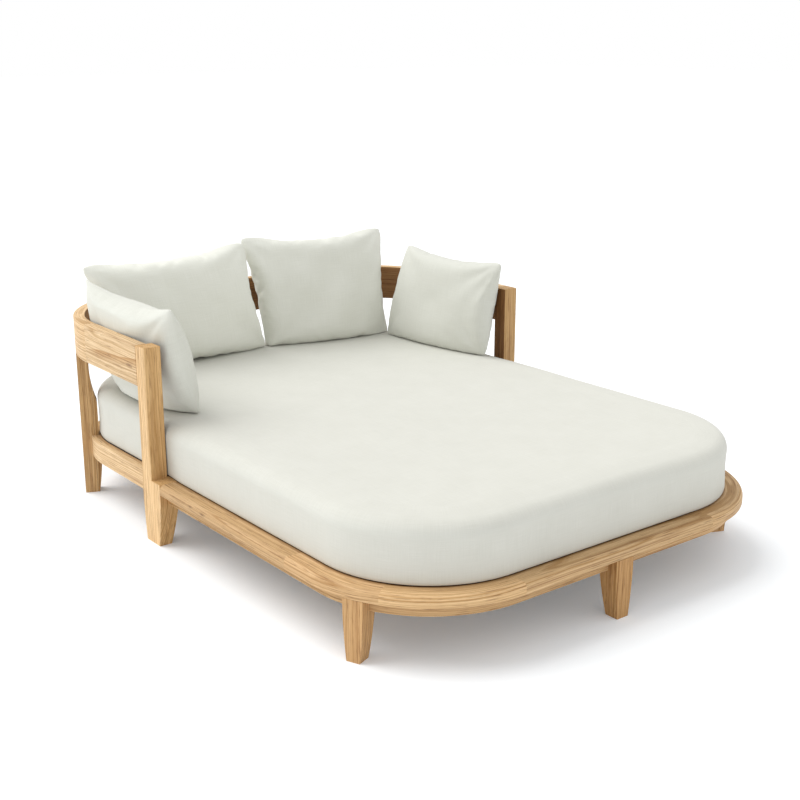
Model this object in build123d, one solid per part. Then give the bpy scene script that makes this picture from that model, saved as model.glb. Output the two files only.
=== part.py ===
from build123d import *
import math
import os

# Outdoor daybed: a teak platform on eight legs, a low curved rail round the head end,
# a slatted deck, a mattress and four loose pillows.
# The origin is on the floor under the middle of the plan. +X is to the right seen from the
# foot end, +Y points to the head end and +Z up. Sizes are in millimetres, angles in degrees.

# Plan and levels
overall_width = 1500.0
overall_depth = 2041.0
front_corner_radius = 390.0
back_corner_radius = 390.0
seat_level = 202.5
top_rail_level = 615.5

# Platform rail, the flat frame round the foot end
platform_width = 63.0
platform_thickness = 32.0
platform_round = 14.0
platform_side_length = 685.0
platform_joint_angle = 33.0

# Apron, the lower frame set in under the platform rail
apron_inset = 31.0
apron_height = 67.5

# Top rail of the arms and the back
top_rail_height = 127.0
top_rail_thickness = 38.0
top_rail_ease = 4.0
wood_ease = 2.5

# Arm posts, each one piece with its leg
arm_post_from_front = 1241.0
arm_post_width = 57.0
arm_post_depth = 55.0
arm_post_ease = 4.0
arm_leg_reach = 53.5
arm_foot_width = 41.0
arm_foot_depth = 80.0
arm_foot_setback = 17.0

# Posts under the top rail at the rear corners and the middle of the back
rear_post_angle = 23.5
rear_post_breadth = 50.0
rear_post_flare_drop = 56.0
rear_post_flare_height = 114.0
rear_foot_width = 47.0

# Legs under the platform rail
front_leg_angle = 22.5
front_leg_width = 59.0
front_leg_foot_width = 39.0
front_leg_foot_depth = 42.5
centre_leg_foot_width = 41.0
leg_depth = 60.0
leg_belly = 1.5

# Slatted deck, sunk below the top of the frame round it
deck_recess = 10.0
slat_count = 15
slat_width = 95.0
slat_thickness = 24.0
deck_gap = 2.0
bearer_width = 45.0
bearer_height = 33.0
bearer_setback = 35.0
tenon_width = 22.0
tenon_height = 20.0
tenon_depth = 10.0
tenon_rise = 8.0
ledger_width = 30.0
ledger_height = 32.0
ledger_end_gap = 12.0

# Dowels and screws
rail_dowel_radius = 6.0
rail_dowel_length = 60.0
rail_dowel_spacing = 62.0
post_dowel_spacing = 24.0
platform_dowel_radius = 5.0
platform_dowel_length = 50.0
platform_dowel_spacing = 32.0
apron_dowel_radius = 4.0
apron_dowel_length = 44.0
apron_dowel_spacing = 16.0
screw_radius = 2.25
slat_screw_length = 45.0
ledger_screw_length = 38.0
platform_screw_length = 55.0
screw_head_radius = 4.5
screw_head_height = 3.0
screw_head_sink = 0.5
ledger_screw_count = 6
side_screw_count = 3
front_screw_count = 2
fit_gap = 0.15
end_gap = 0.5
overrun = 5.0
quarter_turn = 90.0
half_turn = 180.0

# Mattress: its foot stands in the recess of the frame and its sides swell out over the frame
mattress_inset = 60.0
mattress_height = 185.0
mattress_edge = 28.0
mattress_foot_round = 6.0
mattress_foot_gap = 2.5
mattress_swell = 14.0
mattress_crown = 6.0
mattress_waist = 4.0
mattress_shoulder = 90.0
soft_gap = 0.3

# Pillows: seam width and the draw-in of their edges between the corners
back_pillow_thickness = 160.0
side_pillow_thickness = 125.0
pillow_seam = 9.0
pillow_sag = 22.0
pillow_foot = 30.0

# Derived places
half_width = overall_width / 2
front_y = -overall_depth / 2
back_y = overall_depth / 2
front_arc_x = half_width - front_corner_radius
front_arc_y = front_y + front_corner_radius
back_arc_x = half_width - back_corner_radius
back_arc_y = back_y - back_corner_radius
platform_bottom = seat_level - platform_thickness
apron_bottom = seat_level - apron_height
apron_thickness = platform_width - apron_inset
apron_middle = apron_inset + apron_thickness / 2
apron_dowel_level = (apron_bottom + platform_bottom) / 2
top_rail_bottom = top_rail_level - top_rail_height
top_rail_middle = top_rail_level - top_rail_height / 2
arm_post_front = front_y + arm_post_from_front
arm_post_back = arm_post_front + arm_post_depth
arm_leg_front = arm_post_front - arm_leg_reach
platform_joint_y = arm_leg_front - platform_side_length
deck_level = seat_level - deck_recess
slat_bottom = deck_level - slat_thickness
mattress_top = deck_level + mattress_height
mattress_tuck = platform_width + mattress_foot_gap - mattress_inset


def level(x, y, z=0.0):
    """A point of the model."""
    return Vector(x, y, z)


def polar(radius, angle):
    """A flat vector of a given length, its angle counted from +X towards +Y."""
    return Vector(radius * math.cos(math.radians(angle)), radius * math.sin(math.radians(angle)))


def mirrored(shape):
    """The same piece on the right-hand side."""
    return mirror(shape, about=Plane.YZ)


def pierced(piece, cutters):
    """A piece with every cutter taken out of it."""
    return piece - cutters if cutters else piece


# Sections and bars of the frames

def bar_section(inset, width, bottom, top, ease, outer_round):
    """Section of a frame bar: distance in from the plan outline, and height, edges eased."""
    block = Rectangle(width, top - bottom, align=(Align.MIN, Align.MIN))
    section = Pos(inset, bottom) * block
    outer_top = section.vertices().group_by(Axis.Y)[-1].sort_by(Axis.X)[0]
    section = fillet(outer_top, outer_round)
    corners = section.vertices().group_by(Axis.Y)[0]
    corners.append(section.vertices().group_by(Axis.Y)[-1].sort_by(Axis.X)[-1])
    return fillet(corners, ease)


def upright(origin, inward):
    """Vertical plane whose X runs inward from the outline and whose Y runs up."""
    return Plane(origin=origin, x_dir=inward, z_dir=inward.cross(Vector(0, 0, 1)))


def straight_bar(section, start, end, inward):
    """A section carried from start to end along a straight outline."""
    plane = upright(start, inward)
    return extrude(plane * section, amount=(end - start).dot(plane.z_dir))


def bent_bar(section, centre, radius, start_angle, turn):
    """A section carried round a corner of the outline, counterclockwise."""
    outward = polar(1, start_angle)
    plane = upright(centre + outward * radius, -outward)
    return revolve(plane * section, axis=Axis(centre, (0, 0, 1)), revolution_arc=turn)


front_centre = level(-front_arc_x, front_arc_y)
back_centre = level(-back_arc_x, back_arc_y)
left_inward = Vector(1, 0, 0)
front_inward = Vector(0, 1, 0)
back_inward = Vector(0, -1, 0)


# Where the legs stand: the outline point, the direction in from it and the leg's width along it

def outline_station(centre, radius, angle):
    """A point on a rounded corner and the direction in from it."""
    outward = polar(1, angle)
    return centre + outward * radius, -outward


front_leg_point, front_leg_inward = outline_station(
    front_centre, front_corner_radius, half_turn + front_leg_angle)
rear_post_point, rear_post_inward = outline_station(
    back_centre, back_corner_radius, half_turn - rear_post_angle)
centre_leg_point = level(0, front_y)
centre_post_point = level(0, back_y)


def station_block(point, inward, width, bottom, top):
    """The box that a leg fills between two levels, used to cut the bars that meet it."""
    deep = platform_width + overrun
    box = Box(deep + overrun, width, top - bottom, align=(Align.MIN, Align.CENTER, Align.MIN))
    place = Plane(origin=point - inward * overrun + level(0, 0, bottom), x_dir=inward, z_dir=(0, 0, 1))
    return place * box


# Dowels are plain rods; their holes are the same rods made a little larger

def rod_at(middle, direction, radius, length):
    """A round bar about a middle point."""
    return Plane(origin=middle, z_dir=direction) * Cylinder(radius, length)


def dowel_places(point, inward, depth, height, spacing, across):
    """Middles of the two dowels of a butt joint, beside or above each other."""
    heart = point + inward * depth + level(0, 0, height)
    step = inward * (spacing / 2) if across else level(0, 0, spacing / 2)
    return [heart - step, heart + step]


def rail_dowels(radius, length):
    """Dowels of the left half of the top rail, at the size asked for."""
    bend_start = level(-half_width, back_arc_y)
    bend_end = level(-back_arc_x, back_y)
    post_joint = level(-half_width, arm_post_back)
    joints = [(post_joint, left_inward), (bend_start, left_inward), (bend_end, back_inward)]
    rods = []
    for point, inward in joints:
        along = inward.cross(Vector(0, 0, 1))
        for place in dowel_places(point, inward, top_rail_thickness / 2, top_rail_middle,
                                  rail_dowel_spacing, False):
            rods.append(rod_at(place, along, radius, length))
    return rods


def post_dowels(point, inward, radius, length):
    """The two upright dowels between a rear post and the top rail."""
    heart = point + inward * (top_rail_thickness / 2) + level(0, 0, top_rail_bottom)
    along = inward.cross(Vector(0, 0, 1)) * (post_dowel_spacing / 2)
    return [rod_at(heart + along * side, Vector(0, 0, 1), radius, length) for side in (-1, 1)]


def platform_joints():
    """Points and inward directions of the butt joints on the left half of the platform rail."""
    corner_point, corner_inward = outline_station(
        front_centre, front_corner_radius, half_turn + platform_joint_angle)
    return [
        (level(-half_width, arm_leg_front), left_inward),
        (level(-half_width, platform_joint_y), left_inward),
        (corner_point, corner_inward),
        (level(-front_arc_x, front_y), front_inward),
    ]


def platform_dowels(radius, length):
    """Dowels of the left half of the platform rail, at the size asked for."""
    height = seat_level - platform_thickness / 2
    rods = []
    for point, inward in platform_joints():
        along = inward.cross(Vector(0, 0, 1))
        for place in dowel_places(point, inward, platform_width / 2, height,
                                  platform_dowel_spacing, True):
            rods.append(rod_at(place, along, radius, length))
    return rods


def apron_joints():
    """Butt joints of the left half's aprons on the legs: point, direction along the joint, inward."""
    leg_middle = level(-half_width, (arm_leg_front + arm_post_back) / 2)
    stations = [
        (leg_middle, left_inward, arm_leg_reach + arm_post_depth),
        (front_leg_point, front_leg_inward, front_leg_width),
        (rear_post_point, rear_post_inward, rear_post_breadth),
        (centre_leg_point, front_inward, platform_width),
        (centre_post_point, back_inward, rear_post_breadth),
    ]
    joints = []
    for point, inward, width in stations:
        along = inward.cross(Vector(0, 0, 1))
        for side in (-1, 1):
            joints.append((point + along * (width / 2 * side), inward))
    return joints


def apron_dowels(radius, length):
    """Dowels between the aprons of the left half and the legs, at the size asked for."""
    rods = []
    for point, inward in apron_joints():
        along = inward.cross(Vector(0, 0, 1))
        for place in dowel_places(point, inward, apron_middle, apron_dowel_level,
                                  apron_dowel_spacing, False):
            rods.append(rod_at(place, along, radius, length))
    return rods


def screw(tip, direction, length, gap=0.0):
    """A countersunk screw pointing along direction, head flush a little under the surface."""
    shank = Cylinder(screw_radius + gap, length, align=(Align.CENTER, Align.CENTER, Align.MIN))
    head = Cone(screw_head_radius + gap, screw_radius + gap, screw_head_height,
                align=(Align.CENTER, Align.CENTER, Align.MIN))
    place = Plane(origin=tip, z_dir=direction)
    return place * (shank + head)


def screw_hole(tip, direction, length):
    """The hole of a screw, open to the surface above its head and longer at the point."""
    bore = screw(tip, direction, length + end_gap, fit_gap)
    mouth = Plane(origin=tip, z_dir=-direction) * Cylinder(
        screw_head_radius + fit_gap, screw_head_sink + overrun,
        align=(Align.CENTER, Align.CENTER, Align.MIN))
    return bore + mouth


# Legs and posts

def taper_side(top, foot, belly):
    """One side of a tapering leg, bowed out a little between its ends."""
    middle = (top + foot) / 2 + Vector(belly, 0)
    return ThreePointArc(top, middle, foot)


def leg_face(outer_top, inner_top, inner_foot, outer_foot, top, knee, belly):
    """Outline of one face of a leg: straight from its top to the knee, then tapering."""
    left = outer_top
    right = inner_top
    lines = Line((left, top), (right, top)) + Line((right, top), (right, knee))
    lines += taper_side(Vector(right, knee), Vector(inner_foot, 0), belly)
    lines += Line((inner_foot, 0), (outer_foot, 0))
    if outer_foot == left:
        lines += Line((left, 0), (left, top))
    else:
        lines += taper_side(Vector(outer_foot, 0), Vector(left, knee), -belly)
        lines += Line((left, knee), (left, top))
    return make_face(lines)


def leg_block(across_face, inward_face, point, inward):
    """A leg from its two face outlines, one along the outline and one inward from it."""
    along_plane = Plane(origin=point, x_dir=inward.cross(Vector(0, 0, 1)), z_dir=-inward)
    inward_plane = upright(point, inward)
    reach = overall_width
    across = extrude(along_plane * across_face, amount=reach, both=True)
    deep = extrude(inward_plane * inward_face, amount=reach, both=True)
    return across & deep


def arm_post():
    """Left arm post with its leg: the leg reaches forward and tapers on all sides but the outer."""
    corner = level(-half_width, arm_post_front)
    foot_front = arm_leg_reach - arm_foot_setback
    depth_line = leg_face(arm_leg_reach, -arm_post_depth, foot_front - arm_foot_depth, foot_front,
                          seat_level, apron_bottom, -leg_belly)
    width_line = leg_face(0, platform_width, arm_foot_width, 0, seat_level, apron_bottom, leg_belly)
    side_plane = Plane(origin=corner, x_dir=(0, -1, 0), z_dir=(-1, 0, 0))
    front_plane = upright(corner, left_inward)
    leg = extrude(side_plane * depth_line, amount=overall_width, both=True)
    leg &= extrude(front_plane * width_line, amount=overall_depth, both=True)
    post = Box(arm_post_width, arm_post_depth, top_rail_level - apron_bottom,
               align=(Align.MIN, Align.MIN, Align.MIN))
    post = Pos(corner.X, corner.Y, apron_bottom) * post
    post = fillet(post.edges().filter_by(Axis.Z) + post.edges().group_by(Axis.Z)[-1], arm_post_ease)
    return leg + post


def front_corner_leg():
    """Left front leg, turned with the rounded corner and tapering on three sides."""
    half = front_leg_width / 2
    foot = front_leg_foot_width / 2
    across = leg_face(-half, half, foot, -foot, platform_bottom, apron_bottom, leg_belly)
    deep = leg_face(0, leg_depth, front_leg_foot_depth, 0, platform_bottom, apron_bottom, leg_belly)
    flat_back = front_corner_radius - math.sqrt(front_corner_radius ** 2 - half ** 2)
    return leg_block(across, deep, front_leg_point + front_leg_inward * flat_back, front_leg_inward)


def front_centre_leg():
    """Middle leg of the foot end."""
    half = platform_width / 2
    foot = centre_leg_foot_width / 2
    across = leg_face(-half, half, foot, -foot, platform_bottom, apron_bottom, leg_belly)
    deep = leg_face(0, platform_width, front_leg_foot_depth, 0, platform_bottom, apron_bottom, leg_belly)
    return leg_block(across, deep, centre_leg_point, front_inward)


def rear_post(point, inward):
    """A post under the top rail: slim at the top, flared inward to the seat, tapered at the foot."""
    slim = top_rail_thickness
    full = arm_post_width
    flare_top = top_rail_bottom - rear_post_flare_drop
    flare_foot = flare_top - rear_post_flare_height
    rise = full - slim
    radius = (rise ** 2 + rear_post_flare_height ** 2) / (rise * 2)
    half_angle = math.asin(rear_post_flare_height / radius) / 2
    bow = Vector(slim + radius * (1 - math.cos(half_angle)), flare_top - radius * math.sin(half_angle))
    lines = Line((0, 0), (0, top_rail_bottom)) + Line((0, top_rail_bottom), (slim, top_rail_bottom))
    lines += Line((slim, top_rail_bottom), (slim, flare_top))
    lines += ThreePointArc((slim, flare_top), bow, (full, flare_foot))
    lines += Line((full, flare_foot), (full, seat_level))
    lines += Line((full, seat_level), (platform_width, seat_level))
    lines += Line((platform_width, seat_level), (platform_width, apron_bottom))
    lines += taper_side(Vector(platform_width, apron_bottom), Vector(rear_foot_width, 0), leg_belly)
    lines += Line((rear_foot_width, 0), (0, 0))
    return extrude(upright(point, inward) * make_face(lines), amount=rear_post_breadth / 2, both=True)


# Frames

def top_rail_section():
    return bar_section(0, top_rail_thickness, top_rail_bottom, top_rail_level, top_rail_ease, top_rail_ease)


def platform_section():
    return bar_section(0, platform_width, platform_bottom, seat_level, wood_ease, platform_round)


def apron_section(top):
    return bar_section(apron_inset, apron_thickness, apron_bottom, top, wood_ease, wood_ease)


def arm_rail():
    """Left arm rail, from the arm post to the start of the bend."""
    return straight_bar(top_rail_section(), level(-half_width, arm_post_back),
                        level(-half_width, back_arc_y), left_inward)


def back_corner_rail():
    """Left bend of the top rail."""
    return bent_bar(top_rail_section(), back_centre, back_corner_radius, quarter_turn, quarter_turn)


def back_rail():
    """Straight top rail of the back."""
    return straight_bar(top_rail_section(), level(-back_arc_x, back_y), level(back_arc_x, back_y),
                        back_inward)


def platform_side_rail():
    """Left platform rail, from the leg to the joint before the corner."""
    return straight_bar(platform_section(), level(-half_width, arm_leg_front),
                        level(-half_width, platform_joint_y), left_inward)


def platform_corner_rail():
    """Short piece that runs from the side joint into the bend, over the corner leg."""
    run = straight_bar(platform_section(), level(-half_width, platform_joint_y),
                       level(-half_width, front_arc_y), left_inward)
    return run + bent_bar(platform_section(), front_centre, front_corner_radius, half_turn,
                          platform_joint_angle)


def platform_bend_rail():
    """The rest of the left bend."""
    return bent_bar(platform_section(), front_centre, front_corner_radius,
                    half_turn + platform_joint_angle, quarter_turn - platform_joint_angle)


def platform_front_rail():
    """Straight platform rail of the foot end."""
    return straight_bar(platform_section(), level(-front_arc_x, front_y), level(front_arc_x, front_y),
                        front_inward)


def front_side_apron():
    """Left apron from the arm post's leg to the corner leg."""
    section = apron_section(platform_bottom)
    bar = straight_bar(section, level(-half_width, arm_leg_front), level(-half_width, front_arc_y),
                       left_inward)
    bar += bent_bar(section, front_centre, front_corner_radius, half_turn, front_leg_angle)
    leg = station_block(front_leg_point, front_leg_inward, front_leg_width, apron_bottom - overrun,
                        platform_bottom + overrun)
    return bar - leg


def front_apron():
    """Left half of the front apron, from the corner leg to the middle leg."""
    section = apron_section(platform_bottom)
    bar = bent_bar(section, front_centre, front_corner_radius, half_turn + front_leg_angle,
                   quarter_turn - front_leg_angle)
    bar += straight_bar(section, level(-front_arc_x, front_y), level(-platform_width / 2, front_y),
                        front_inward)
    leg = station_block(front_leg_point, front_leg_inward, front_leg_width, apron_bottom - overrun,
                        platform_bottom + overrun)
    return bar - leg


def rear_side_apron():
    """Left apron from the arm post to the rear corner post."""
    section = apron_section(seat_level)
    bar = straight_bar(section, level(-half_width, arm_post_back), level(-half_width, back_arc_y),
                       left_inward)
    bar += bent_bar(section, back_centre, back_corner_radius, half_turn - rear_post_angle,
                    rear_post_angle)
    post = station_block(rear_post_point, rear_post_inward, rear_post_breadth, apron_bottom - overrun,
                         seat_level + overrun)
    return bar - post


def rear_apron():
    """Left half of the rear apron, from the corner post to the middle post."""
    section = apron_section(seat_level)
    bar = bent_bar(section, back_centre, back_corner_radius, quarter_turn, quarter_turn - rear_post_angle)
    bar += straight_bar(section, level(-back_arc_x, back_y), level(-rear_post_breadth / 2, back_y),
                        back_inward)
    post = station_block(rear_post_point, rear_post_inward, rear_post_breadth, apron_bottom - overrun,
                         seat_level + overrun)
    return bar - post


# Deck

def plan_face(inset, front_radius, back_radius, height):
    """The plan outline drawn in by an inset, with its own corner radii, at a height."""
    side = half_width - inset
    front = front_y + inset
    back = back_y - inset
    turn = math.sin(math.radians(quarter_turn / 2))
    points = [(-side, back - back_radius), (-side, front + front_radius)]
    lines = Line(points[0], points[1])
    lines += ThreePointArc((-side, front + front_radius),
                           (-side + front_radius * (1 - turn), front + front_radius * (1 - turn)),
                           (-side + front_radius, front))
    lines += Line((-side + front_radius, front), (side - front_radius, front))
    lines += ThreePointArc((side - front_radius, front),
                           (side - front_radius * (1 - turn), front + front_radius * (1 - turn)),
                           (side, front + front_radius))
    lines += Line((side, front + front_radius), (side, back - back_radius))
    lines += ThreePointArc((side, back - back_radius),
                           (side - back_radius * (1 - turn), back - back_radius * (1 - turn)),
                           (side - back_radius, back))
    lines += Line((side - back_radius, back), (-side + back_radius, back))
    lines += ThreePointArc((-side + back_radius, back),
                           (-side + back_radius * (1 - turn), back - back_radius * (1 - turn)),
                           (-side, back - back_radius))
    return Pos(0, 0, height) * make_face(lines)


deck_inset = platform_width + deck_gap
deck_depth = overall_depth - deck_inset * 2
slat_pitch = (deck_depth - slat_width) / (slat_count - 1)
slat_middles = [front_y + deck_inset + slat_width / 2 + slat_pitch * i for i in range(slat_count)]
bearer_spread = front_arc_x - bearer_setback
bearer_lines = [-bearer_spread, 0, bearer_spread]
ledger_start = front_arc_y + ledger_end_gap
ledger_end = back_arc_y - ledger_end_gap
ledger_line = half_width - platform_width - ledger_width / 2


def slat_screw_places(y):
    """Screws of one slat: one over each bearer, and one over each ledger that it reaches."""
    lines = list(bearer_lines)
    if ledger_start + screw_head_radius < y < ledger_end - screw_head_radius:
        lines += [-ledger_line, ledger_line]
    return [level(x, y, deck_level - screw_head_sink) for x in lines]


def slat(y):
    """One slat, cut to the plan outline inside the frame."""
    outline = plan_face(deck_inset, front_corner_radius - deck_inset, back_corner_radius - deck_inset,
                        slat_bottom)
    deck = extrude(outline, amount=slat_thickness)
    board = Pos(0, y, slat_bottom) * Box(overall_width, slat_width, slat_thickness,
                                         align=(Align.CENTER, Align.CENTER, Align.MIN))
    cutters = [screw_hole(place, Vector(0, 0, -1), slat_screw_length)
               for place in slat_screw_places(y)]
    return pierced(board & deck, cutters)


def bearer(x):
    """A bearer from the front frame to the rear frame, with a stub tenon at each end."""
    front = front_y + platform_width
    back = back_y - platform_width
    body = Pos(x, 0, slat_bottom) * Box(bearer_width, back - front, bearer_height,
                                        align=(Align.CENTER, Align.CENTER, Align.MAX))
    tenon = Pos(x, 0, apron_bottom + tenon_rise) * Box(
        tenon_width, back - front + tenon_depth * 2, tenon_height,
        align=(Align.CENTER, Align.CENTER, Align.MIN))
    holes = [screw_hole(level(x, y, deck_level - screw_head_sink), Vector(0, 0, -1),
                        slat_screw_length) for y in slat_middles]
    return pierced(body + tenon, holes)


def mortises():
    """Holes for the bearers' tenons, all round a little larger."""
    length = overall_depth - platform_width * 2 + (tenon_depth + end_gap) * 2
    return [Pos(x, 0, apron_bottom + tenon_rise - fit_gap) * Box(
        tenon_width + fit_gap * 2, length, tenon_height + fit_gap * 2,
        align=(Align.CENTER, Align.CENTER, Align.MIN)) for x in bearer_lines]


def ledger_screw_places():
    """Middles of the left ledger's screw heads, on its inner face."""
    pitch = (ledger_end - ledger_start) / ledger_screw_count
    x = -ledger_line + ledger_width / 2 - screw_head_sink
    height = slat_bottom - ledger_height * 3 / 4
    return [level(x, ledger_start + pitch * (i + 0.5), height) for i in range(ledger_screw_count)]


def ledger():
    """Left ledger, which carries the slats' ends along the straight side."""
    block = Box(ledger_width, ledger_end - ledger_start, ledger_height,
                align=(Align.CENTER, Align.MIN, Align.MAX))
    bar = Pos(-ledger_line, ledger_start, slat_bottom) * block
    holes = [screw_hole(place, Vector(-1, 0, 0), ledger_screw_length)
             for place in ledger_screw_places()]
    for y in slat_middles:
        for place in slat_screw_places(y)[len(bearer_lines):]:
            holes.append(screw_hole(place, Vector(0, 0, -1), slat_screw_length))
    return pierced(bar, holes)


def platform_screw_places():
    """Heads of the screws that come up through the left front aprons into the platform rail."""
    height = apron_bottom + screw_head_sink
    pitch = platform_side_length / side_screw_count
    places = [level(-half_width + apron_middle, platform_joint_y + pitch * (i + 0.5), height)
              for i in range(side_screw_count)]
    half_run = front_arc_x / front_screw_count
    places += [level(-half_run * (i + 0.5), front_y + apron_middle, height)
               for i in range(front_screw_count)]
    middle_turn = (front_leg_angle + quarter_turn) / 2
    places.append(front_centre + polar(front_corner_radius - apron_middle, half_turn + middle_turn)
                  + level(0, 0, height))
    return places


# Soft pieces

# Shares of the mattress's profile from its foot to the flat middle of its top: the foot round,
# the swell over the frame's edge, the waist above it, and the crown between edge and shoulder
foot_round_shares = [(0.86, 0), (0.25, 0.36), (0, 1)]
swell_shares = [(1, 0.10), (0.55, 0.32), (0.22, 0.60), (0.04, 1)]
waist_shares = [(0.25, 0.20), (1, 0.55), (0.25, 0.90), (0.05, 1)]
edge_turns = [20, 40, 60, 78]
crown_shares = [(0.19, 0.2), (0.52, 0.6), (1, 1)]


def mattress_profile():
    """Draw-in and height of each section of the mattress."""
    edge_foot = mattress_height - mattress_crown - mattress_edge
    swell_top = deck_recess + mattress_swell
    profile = [(mattress_tuck + mattress_foot_round * x, mattress_foot_round * z)
               for x, z in foot_round_shares]
    profile += [(mattress_tuck * x, deck_recess + mattress_swell * z) for x, z in swell_shares]
    profile += [(mattress_waist * x, swell_top + (edge_foot - swell_top) * z)
                for x, z in waist_shares]
    for turn in edge_turns:
        angle = math.radians(turn)
        profile.append((mattress_edge * (1 - math.cos(angle)), edge_foot + mattress_edge * math.sin(angle)))
    profile += [(mattress_edge + (mattress_shoulder - mattress_edge) * x,
                 mattress_height - mattress_crown * (1 - z)) for x, z in crown_shares]
    return profile


def mattress():
    """Mattress: rounded edges, sides drawn in a little, a low crown with a flat middle."""
    outlines = [plan_face(mattress_inset + inset, front_corner_radius - mattress_inset - inset,
                          back_corner_radius - mattress_inset - inset, deck_level + height)
                for inset, height in mattress_profile()]
    return loft(outlines)


# Each pillow is spanned between four corner tips: lower left, lower right, upper left, upper right.
# A tip has its side of the bed, its run round the outline, its inset as a share of the mattress's
# inset, and for the upper tips its height as a share of the top rail's height over the seat. The run
# goes from 0 at the middle of the back to 1 at the end of the straight, to 2 round the corner's curve
# and to 3 along the side, at the middle of the bed. The lower tips stand on the mattress.
pillow_tip_shares = {
    "pillow_back_left": (
        (-1, 1.298, 1.878), (1, 0.153, 2.925), (-1, 1.466, 0.121, 1.305), (1, 0.006, 2.142, 1.367)),
    "pillow_back_right": (
        (1, 0.194, 2.758), (1, 1.632, 2.363), (1, 0.069, 1.575, 1.394), (1, 1.512, 0.600, 1.364)),
    "pillow_arm_left": (
        (-1, 1.837, 1.934), (-1, 2.589, 3.350), (-1, 1.748, 0.811, 1.294), (-1, 2.676, 1.417, 1.270)),
    "pillow_arm_right": (
        (1, 1.689, 3.007), (1, 2.564, 1.833), (1, 1.781, 1.278, 1.242), (1, 2.654, 1.367, 1.235)),
}


def pillow_tip(side, run, inset_share, height):
    """A corner tip, set in from the outline at its run round it."""
    turn = quarter_turn * min(max(run - 1, 0), 1)
    reach = polar(back_corner_radius - mattress_inset * inset_share, quarter_turn - turn)
    x = back_arc_x * min(run, 1) + reach.X
    y = back_arc_y * (1 - max(run - 2, 0)) + reach.Y
    return level(side * x, y, height)


def pillow_tips(shares):
    """The four corner tips of a pillow, from its shares."""
    lower = [pillow_tip(side, run, inset, mattress_top + soft_gap) for side, run, inset in shares[:2]]
    upper = [pillow_tip(side, run, inset, seat_level + (top_rail_level - seat_level) * height)
             for side, run, inset, height in shares[2:]]
    return lower + upper


def pillow_section(low, high, along, thickness, foot):
    """Lens-shaped section of a pillow: a level foot, two full sides and a thin upper seam."""
    tall = (high - low).length
    rise = (high - low).normalized()
    facing = (along - rise * along.dot(rise)).normalized()
    plane = Plane(origin=low, x_dir=rise, z_dir=facing)
    ground = facing.cross(Vector(0, 0, 1)).normalized() * (foot / 2)
    toe = Vector(ground.dot(plane.x_dir), ground.dot(plane.y_dir))
    half_seam = pillow_seam / 2
    half = thickness / 2
    lines = Line(toe, -toe)
    lines += ThreePointArc(-toe, (tall / 2, -half), (tall, -half_seam))
    lines += Line((tall, -half_seam), (tall, half_seam))
    lines += ThreePointArc((tall, half_seam), (tall / 2, half), toe)
    return plane * make_face(lines)


pillow_station_shares = [0, 0.07, 0.24, 0.5, 0.76, 0.93, 1]
pillow_fullness_shares = [0.09, 0.42, 0.86, 1, 0.86, 0.42, 0.09]


def pillow(name, thickness):
    """A knife-edged pillow spanned between its corner tips, its upper edge sagging between them."""
    low_left, low_right, high_left, high_right = pillow_tips(pillow_tip_shares[name])
    along = (low_right - low_left + high_right - high_left).normalized()
    sections = []
    for share, fullness in zip(pillow_station_shares, pillow_fullness_shares):
        dip = level(0, 0, -pillow_sag * 4 * share * (1 - share))
        low = low_left + (low_right - low_left) * share
        high = high_left + (high_right - high_left) * share + dip
        foot = pillow_seam + (pillow_foot - pillow_seam) * fullness
        sections.append(pillow_section(low, high, along, thickness * fullness + pillow_seam, foot))
    return loft(sections)


os.makedirs("parts", exist_ok=True)


def save(name, piece):
    """Write one node."""
    export_step(piece, "parts/" + name + ".step")


def save_pair(name, piece):
    """Write a left piece and its mirror image."""
    save(name + "_left", piece)
    save(name + "_right", mirrored(piece))


def both_sides(cutters):
    """Cutters of the left half and their mirror images."""
    return cutters + [mirrored(cutter) for cutter in cutters]


# Holes of the left half; the pieces that cross the middle take the mirrored ones too
rail_holes = rail_dowels(rail_dowel_radius + fit_gap, rail_dowel_length + end_gap * 2)
rear_post_holes = post_dowels(rear_post_point, rear_post_inward, rail_dowel_radius + fit_gap,
                              rail_dowel_length + end_gap * 2)
centre_post_holes = post_dowels(centre_post_point, back_inward, rail_dowel_radius + fit_gap,
                                rail_dowel_length + end_gap * 2)
platform_holes = platform_dowels(platform_dowel_radius + fit_gap, platform_dowel_length + end_gap * 2)
apron_holes = apron_dowels(apron_dowel_radius + fit_gap, apron_dowel_length + end_gap * 2)
platform_screw_holes = [screw_hole(place, Vector(0, 0, 1), platform_screw_length)
                        for place in platform_screw_places()]
ledger_screw_holes = [screw_hole(place, Vector(-1, 0, 0), ledger_screw_length)
                      for place in ledger_screw_places()]

# Posts and legs
save_pair("arm_post", pierced(arm_post(), rail_holes[:2] + platform_holes[:2] + apron_holes[:4]))
save_pair("rear_corner_post", pierced(rear_post(rear_post_point, rear_post_inward),
                                      rear_post_holes + apron_holes[8:12]))
save("rear_centre_post", pierced(rear_post(centre_post_point, back_inward),
                                 centre_post_holes + apron_holes[16:20] + mortises()))
save_pair("front_corner_leg", pierced(front_corner_leg(), apron_holes[4:8]))
save("front_centre_leg", pierced(front_centre_leg(), apron_holes[12:16] + mortises()))

# Top rail
save_pair("arm_rail", pierced(arm_rail(), rail_holes[:4]))
save_pair("back_corner_rail", pierced(back_corner_rail(), rail_holes[2:6] + rear_post_holes))
save("back_rail", pierced(back_rail(), both_sides(rail_holes[4:6]) + centre_post_holes))

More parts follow.
